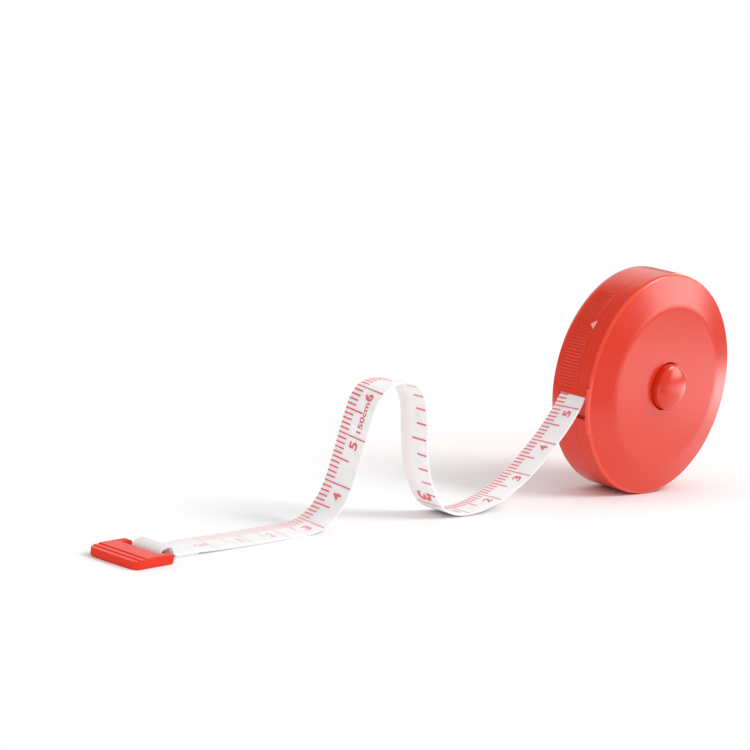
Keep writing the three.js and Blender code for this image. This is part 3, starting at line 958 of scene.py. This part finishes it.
def pointerPrism(grown, height):
    # The pointer's triangle on the rim, its base at the seam, grown on every side
    half = pointer["width"] / 2
    slant = math.hypot(half, pointer["height"])
    inRadius = half * pointer["height"] / (half + slant)
    share = (inRadius - pointer["shrink"] + grown) / inRadius
    base = shell["seam"] + inRadius
    shape = bmesh.new()
    angle = math.radians(pointer["angle"])
    outwards = rimDirection(pointer["angle"])
    around = Vector((math.sin(angle), 0, math.cos(angle)))
    floor = case["radius"] - pointer["thickness"] - grown
    verts = []
    for across, up in ((-half, -inRadius), (half, -inRadius), (0, pointer["height"] - inRadius)):
        spot = outwards * floor + around * across * share + Vector((0, base + up * share, 0))
        verts.append(shape.verts.new(centre + spot * mm))
    drawOut(shape, shape.faces.new(verts), outwards * height * mm)
    return shape


def makeShell():
    depth, radius, inside = case["halfDepth"], case["radius"], case["innerHalf"]
    flank, seam, lip = ribs["flank"], shell["seam"], shell["lip"]
    ladder = [ribs["to"] - flank * k / 4 for k in range(5)]
    ladder += [ribs["from"] + flank * (4 - k) / 4 for k in range(5)]
    corners = [(0, depth, 0), (radius, depth, shell["rearEdge"])] + [(radius, y, 0) for y in ladder]
    corners += [
        (radius, seam, shell["seamEdge"]), (shell["lipRadius"], seam, 0),
        (shell["lipRadius"], lip, shell["lipEdge"]), (shell["inner"], lip, shell["lipEdge"]),
        (shell["inner"], inside, shell["innerEdge"]), (0, inside, 0),
    ]
    pitchAngle = math.degrees(ribs["pitch"] / radius)
    start = ribs["start"] - pitchAngle / 2
    sweep = pitchAngle * ribs["count"]
    shape = turnedShape(corners, [
        (start, sweep, ribs["count"] * ribs["fineness"]), (start + sweep, 360 - sweep, shell["plainSteps"]),
    ])
    for vert in shape.verts:  # the grip ribs' rounded grooves
        spot = (vert.co - centre) / mm
        outwards = math.hypot(spot.x, spot.z)
        if outwards < radius - 0.01 or not ribs["from"] < spot.y < ribs["to"]:
            continue
        turn = (math.degrees(math.atan2(spot.z, -spot.x)) - start) / pitchAngle
        if not 0 <= turn <= ribs["count"]:
            continue
        share = min(min(spot.y - ribs["from"], ribs["to"] - spot.y) / flank, 1)
        share = share * share * (3 - 2 * share)
        dip = ribs["depth"] * share * (0.5 - 0.5 * math.cos(2 * math.pi * turn))
        vert.co -= Vector((spot.x, 0, spot.z)).normalized() * dip * mm
    shape = cutAway(shape, mouthCutters() + [pointerPrism(pointer["clearance"], beyond)])
    finishPiece("rearShell", shape, "shellRed", "case", ("back_shell",))


def makePointer():
    # A pale triangle let into the rim, its middle sunk
    shape = pointerPrism(0, pointer["thickness"] + pointer["proud"])
    outwards = rimDirection(pointer["angle"])
    lid = max(shape.faces, key=lambda f: f.normal.dot(outwards))
    bmesh.ops.inset_region(shape, faces=[lid], thickness=pointer["inset"] * mm, depth=0)
    bmesh.ops.translate(shape, verts=lid.verts, vec=-outwards * pointer["sink"] * mm)
    finishPiece("pointerTriangle", shape, "pointerPink", "case", ("pointer_mark",))


def makeCover():
    depth, radius, inside = case["halfDepth"], case["radius"], case["innerHalf"]
    hole, seam = cover["hole"], cover["seam"]
    drop = (radius - cover["face"]) * cover["slope"]
    innerDrop = (cover["inner"] - cover["innerFace"]) * cover["slope"]
    corners = [
        (hole, -depth, cover["holeEdge"]), (cover["face"], -depth, cover["faceEdge"]),
        (radius, -depth + drop, cover["rimEdge"]), (radius, seam, cover["seamEdge"]),
        (cover["inner"], seam, 0), (cover["inner"], -inside + innerDrop, 0),
        (cover["innerFace"], -inside, 0), (hole, -inside, cover["backEdge"]),
    ]
    shape = turnedShape(corners, [(0, 360, case["steps"])])
    gap = guide["gap"]
    slack = math.degrees(gap / radius)
    near = -mouth["half"]
    notch = sectorPrism(
        radius + guide["proud"] - guide["height"] - gap, radius + guide["notchReach"],
        guide["from"] - slack, guide["to"] + slack, near - guide["depth"] - gap, near + gap,
    )
    shape = cutAway(shape, mouthCutters() + [notch])
    finishPiece("frontCover", shape, "shellRed", "case", ("front_cover",))


def makeGuide():
    outer = case["radius"] + guide["proud"]
    near = -mouth["half"]
    shape = sectorPrism(
        outer - guide["height"], outer, guide["from"], guide["to"], near - guide["depth"], near,
        guide["rounding"],
    )
    # the lip wears the brighter red with its painted highlight
    finishPiece("mouthLip", shape, "lipRed", "case", ("mouth_guide",))


makeShell()
makePointer()
makeCover()
makeGuide()
print("case made")


# The button

button = {
    "radius": 5.2,
    "proud": 2.6,
    "dome": 1.5,
    "domeSteps": 24,
    "steps": 96,
    "wall": 1.0,
    "skirt": -3.9,
    "skirtEdge": 0.15,
    "stem": 1.7,
    "stemTo": 0.85,
    "edge": 0.1,
    "fillet": 0.2,
}


def makeButton():
    radius, skirt, stem = button["radius"], button["skirt"], button["stem"]
    crown = -case["halfDepth"] - button["proud"]
    corners = [(0, crown, 0)]
    for step in range(1, button["domeSteps"] + 1):
        angle = math.pi / 2 / button["domeSteps"] * step
        corners.append((radius * math.sin(angle), crown + button["dome"] * (1 - math.cos(angle)), 0))
    ceiling = crown + button["dome"] + button["wall"] / 2
    inside = radius - button["wall"]
    corners += [
        (radius, skirt, button["skirtEdge"]), (inside, skirt, button["edge"]),
        (inside, ceiling, button["fillet"]), (stem, ceiling, button["fillet"]),
        (stem, button["stemTo"], button["edge"]), (0, button["stemTo"], 0),
    ]
    shape = turnedShape(corners, [(0, 360, button["steps"])])
    finishPiece("pushButton", shape, "shellRed", "button", ("button_cap",))


makeButton()


# The spring that pushes the button out: it stands in the post

spring = {
    "turns": 5,
    "wire": 0.15,
    "radius": 1.55,
    "from": 1.32,  # the wire's middle, from the case's middle plane
    "to": 4.53,
    "seat": 4.7,
    "stepsPerTurn": 32,
    "travel": 1.3,
}


def makeSpring():
    shape = bmesh.new()
    steps = spring["turns"] * spring["stepsPerTurn"]
    start = Matrix.Translation(centre + Vector((spring["radius"], spring["from"], 0)) * mm)
    bmesh.ops.create_circle(shape, cap_ends=False, segments=10, radius=spring["wire"] * mm, matrix=start)
    bmesh.ops.spin(
        shape, geom=shape.verts[:] + shape.edges[:], cent=centre, axis=(0, 1, 0),
        dvec=(0, (spring["to"] - spring["from"]) / steps * mm, 0),
        angle=math.radians(360 * spring["turns"]), steps=steps, use_merge=False, use_duplicate=False,
    )
    bmesh.ops.holes_fill(shape, edges=[e for e in shape.edges if e.is_boundary], sides=0)
    bmesh.ops.recalc_face_normals(shape, faces=shape.faces)
    piece = finishPiece("buttonSpring", shape, "springSteel", "case", ("button_spring",),
                        weighted=False)
    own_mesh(piece)


makeSpring()
print("button and spring made")


# The tape still on the reel, turn upon turn

coil = {
    "inner": 15.72,
    "turns": 11.6,
    "pitch": 0.35,
    "wall": 0.32,
    "stepsPerTurn": 96,
    "startAngle": 150,
    "length": 1330,
}


def makeCoil():
    shape = bmesh.new()
    cloth = shape.loops.layers.uv.new("cloth")
    segments = int(coil["turns"] * coil["stepsPerTurn"])
    bmesh.ops.create_grid(shape, x_segments=segments, y_segments=2, size=1)
    half = tape["width"] / 2
    for face in shape.faces:
        for loop in face.loops:
            share = (loop.vert.co.x + 1) / 2
            loop[cloth].uv = (share * coil["length"] / clothUnit, loop.vert.co.y * half / clothUnit)
    for vert in shape.verts:
        turn = (vert.co.x + 1) / 2 * coil["turns"]
        outwards = rimDirection(coil["startAngle"] - turn * 360)
        radius = coil["inner"] + coil["pitch"] * (turn + 0.5)
        vert.co = centre + (outwards * radius + Vector((0, vert.co.y * half, 0))) * mm
    bmesh.ops.recalc_face_normals(shape, faces=shape.faces)
    piece = finishPiece("tapeOnReel", shape, "coatedTape", "reel", ("wound_tape",),
                        weighted=False)
    thicken(piece, coil["wall"])


makeCoil()
print("tape wound on the reel")


# What the case holds keeps its solids and gets its finishes

insides = {
    "innerPlastic": ("centre_post", "brake_disc", "reel_drum", "reel_front_flange", "reel_rear_flange",
                     "reel_bush", "tape_anchor"),
    "springSteel": ("stem_clip", "power_spring"),
    "padRubber": ("brake_pad",),
}
for finish, names in insides.items():
    for name in names:
        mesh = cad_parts[name].data
        mesh.materials.clear()
        mesh.materials.append(materials[finish])
print("insides finished")


# Floor and light

studio = {  # lengths in metres
    "floorSize": 3.0,
    "floorColour": (0.93, 0.93, 0.93),
    "floorMiddle": (-0.05, 0, 0),
    "fade": (0.22, 0.5),  # it fades to white between these distances
    "foreground": (-0.004, -0.018),  # and in front of the object, by Y
    "ambient": 0.79,
    "room": 0.13,
    "horizon": 0.7,  # the far edge of the table behind the object, in reflections
    "horizonBand": (0.1, 0.4),  # by Y
    "tableEnd": (0.2, 0.38),  # where the table ends in reflections
    "tableNear": (0.07, 0.1),  # up to here it shows as it is lit
    "tableLevels": (0.08, 3.3),  # its brightness in reflections, at the left and the right
    "tableBand": (0.04, 0.17),  # by X
    "frontLevel": 2.8,  # and at the front left, below the camera
    "frontBand": (-0.05, -0.08),  # by Y
    "leftBand": (-0.03, -0.07),  # by X
    "keyStrength": 1.3,
    "keyAngle": 26,
    "keyAzimuth": 50,  # from -Y towards +X
    "keyElevation": 46,
    "boxes": (  # strength, azimuth, elevation, width and height
        (3.8, 54, 17, 0.288, 0.32),
        (2.4, 104, 16, 0.35, 0.35),
    ),
    "boxDistance": 0.6,
    "screenStrength": 1.15,
    "screenAzimuth": 141,
    "screenDistance": 0.9,
    "screenSize": (2.2, 0.85),
    "screenFoot": 0.25,
}


def aim(source, towards, distance):
    source.rotation_mode = "QUATERNION"
    source.rotation_quaternion = towards.to_track_quat("Z", "Y")
    source.location = centre + towards * distance


def addSheet(name, width, height, material):
    # A flat sheet of the studio
    shape = bmesh.new()
    bmesh.ops.create_grid(shape, x_segments=1, y_segments=1, size=0.5)
    bmesh.ops.scale(shape, verts=shape.verts, vec=(width, height, 1))
    mesh = bpy.data.meshes.new(name)
    shape.to_mesh(mesh)
    shape.free()
    mesh.materials.append(material)
    return addObject(name, mesh)


def plainLight(tree, strength=1):
    return addNode(tree, "ShaderNodeEmission", {"Color": (1, 1, 1, 1), "Strength": strength})


def makeFloor():
    material, tree = newMaterial("whiteFloor")
    link = tree.links.new
    tree.nodes.remove(tree.nodes["Principled BSDF"])
    place, axes = objectPlace(tree)
    path = addNode(tree, "ShaderNodeLightPath").outputs
    # To the camera: matte with the object's shadow, white farther off and in the foreground
    matte = addNode(tree, "ShaderNodeBsdfDiffuse", {"Color": (*studio["floorColour"], 1)})
    away = distanceFrom(tree, place, studio["floorMiddle"])
    white = calculate(tree, "MAXIMUM", ramp(tree, away, *studio["fade"]),
                      ramp(tree, axes["Y"], *studio["foreground"]))
    share = calculate(tree, "MULTIPLY", path["Is Camera Ray"], white)
    seen = mixShader(tree, share, matte.outputs[0], plainLight(tree).outputs[0])
    # In reflections: a table of its own brightness, darker on the left, with the room beyond it
    side = ramp(tree, axes["X"], *studio["tableBand"], *studio["tableLevels"])
    front = ramp(tree, axes["Y"], *studio["frontBand"], high=studio["frontLevel"])
    left = ramp(tree, axes["X"], *studio["leftBand"])
    level = addNode(tree, "ShaderNodeMix", data_type="FLOAT", clamp_factor=True)
    link(ramp(tree, away, *studio["tableEnd"]), level.inputs["Factor"])
    link(calculate(tree, "MULTIPLY_ADD", front, left, side), level.inputs["A"])
    horizon = ramp(tree, axes["Y"], *studio["horizonBand"], studio["room"], studio["horizon"])
    link(horizon, level.inputs["B"])
    table = plainLight(tree)
    link(level.outputs["Result"], table.inputs["Strength"])
    farther = ramp(tree, distanceFrom(tree, place, (0, 0, 0)), *studio["tableNear"])
    mirrored = calculate(tree, "MULTIPLY", path["Is Glossy Ray"], farther)
    link(mixShader(tree, mirrored, seen, table.outputs[0]), tree.nodes["Material Output"].inputs["Surface"])
    floor = addSheet("floor", studio["floorSize"], studio["floorSize"], material)


def makeWorld():
    # White for the camera and through glass, a dim room in reflections, an even fill on the surfaces
    world = bpy.data.worlds.new("studio")
    bpy.context.scene.world = world
    world.use_nodes = True
    tree = world.node_tree
    path = addNode(tree, "ShaderNodeLightPath")
    fill = tree.nodes["Background"]
    fill.inputs["Color"].default_value = (1, 1, 1, 1)
    fill.inputs["Strength"].default_value = studio["ambient"]
    last = fill.outputs[0]
    levels = {"Is Glossy Ray": studio["room"], "Is Transmission Ray": 1.0, "Is Camera Ray": 1.0}
    for ray, level in levels.items():
        seen = addNode(tree, "ShaderNodeBackground", {"Color": (1, 1, 1, 1), "Strength": level})
        last = mixShader(tree, path.outputs[ray], last, seen.outputs[0])
    tree.links.new(last, tree.nodes["World Output"].inputs["Surface"])


def makeKey():
    # One soft lamp from the right of the camera
    lamp = bpy.data.lights.new("key", "SUN")
    lamp.energy = studio["keyStrength"]
    lamp.angle = math.radians(studio["keyAngle"])
    aim(addObject("key", lamp), towardsAt(studio["keyAzimuth"], studio["keyElevation"]), 1)


def makeSoftboxes():
    # Low softboxes at the right: the first one's edge draws the bright and dark parts of the bevel
    for strength, azimuth, elevation, width, height in studio["boxes"]:
        lamp = bpy.data.lights.new("softbox", "AREA")
        lamp.shape = "RECTANGLE"
        lamp.size = width
        lamp.size_y = height
        lamp.energy = strength * math.pi * width * height
        source = addObject("softbox", lamp)
        source.visible_diffuse = False
        aim(source, towardsAt(azimuth, elevation), studio["boxDistance"])


def makeScreen():
    # The white backdrop behind the object, as the glossy rims see it
    width, height = studio["screenSize"]
    material, tree = newMaterial("whiteBackdrop")
    tree.nodes.remove(tree.nodes["Principled BSDF"])
    glow = plainLight(tree, studio["screenStrength"])
    tree.links.new(glow.outputs[0], tree.nodes["Material Output"].inputs["Surface"])
    screen = addSheet("backdrop", width, height, material)
    aim(screen, towardsAt(studio["screenAzimuth"], 0), studio["screenDistance"])
    screen.location.z = height / 2 + studio["screenFoot"]
    screen.visible_camera = False
    screen.visible_diffuse = False
    screen.visible_shadow = False


makeFloor()
makeWorld()
makeKey()
makeSoftboxes()
makeScreen()
print("studio lit")
